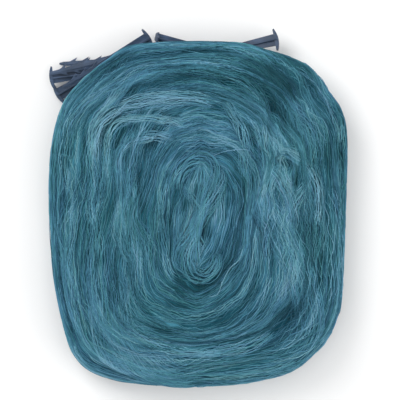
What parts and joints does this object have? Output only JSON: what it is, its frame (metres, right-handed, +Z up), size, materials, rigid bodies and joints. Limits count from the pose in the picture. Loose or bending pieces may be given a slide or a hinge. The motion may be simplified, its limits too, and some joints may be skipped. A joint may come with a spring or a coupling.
{
  "type": "pond net hank",
  "caption": "Knotted twine pond cover net gathered into a soft rope and wound into a fat flat rectangular hank, lying on its back on its plastic ground pegs.",
  "frame": {"origin": "under the middle of the whole part's bounding box, on the surface that it lies on", "axes": "+Z up, away from the surface and out of the hank's face; +Y along the hank's length towards the edge with the pegs; +X across it"},
  "size_m": [0.4444, 0.532, 0.1167],
  "materials": {
    "net_twine": "fine twisted polyethylene twine, knotted, dark teal",
    "peg_plastic": "moulded plastic, near black"
  },
  "bodies": {
    "root": {"net_hank": "net_twine", "peg_1": "peg_plastic", "peg_2": "peg_plastic", "peg_3": "peg_plastic", "peg_4": "peg_plastic", "peg_5": "peg_plastic", "peg_6": "peg_plastic", "peg_7": "peg_plastic"}
  },
  "joints": []
}
